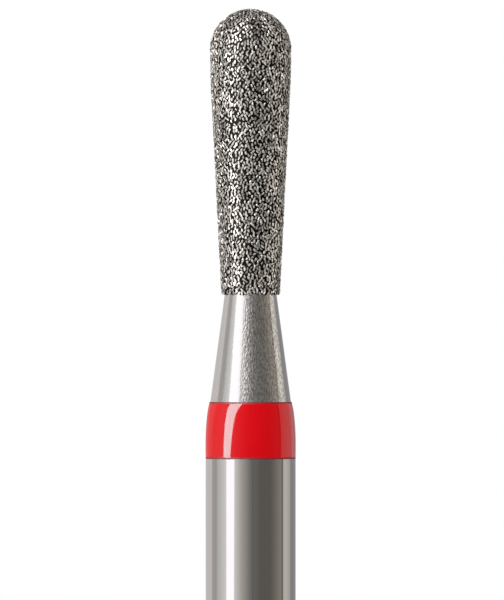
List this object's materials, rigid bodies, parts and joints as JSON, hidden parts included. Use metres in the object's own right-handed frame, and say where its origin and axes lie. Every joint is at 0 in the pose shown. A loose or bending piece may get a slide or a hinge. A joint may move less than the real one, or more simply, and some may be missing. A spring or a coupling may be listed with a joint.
{
  "type": "dental bur",
  "caption": "Pear-shaped diamond-coated dental bur with a conical neck, a colour ring and a plain cylindrical friction-grip shank.",
  "frame": {"origin": "centre of the shank's flat end face, which is the lowest point with the bur upright", "axes": "+Z along the bur's turning axis from the shank to the diamond head; X and Y are equal, since the bur is round"},
  "size_m": [0.0016, 0.0016, 0.019],
  "materials": {
    "ground_steel": "stainless steel, ground bright on the shank, finely satin on the neck",
    "diamond_grit": "fine diamond grains set in nickel, grey with bright and dark specks",
    "ring_lacquer": "glossy red lacquer"
  },
  "bodies": {
    "root": {"steel_blank": "ground_steel", "diamond_coating": "diamond_grit", "colour_ring": "ring_lacquer"}
  },
  "joints": []
}
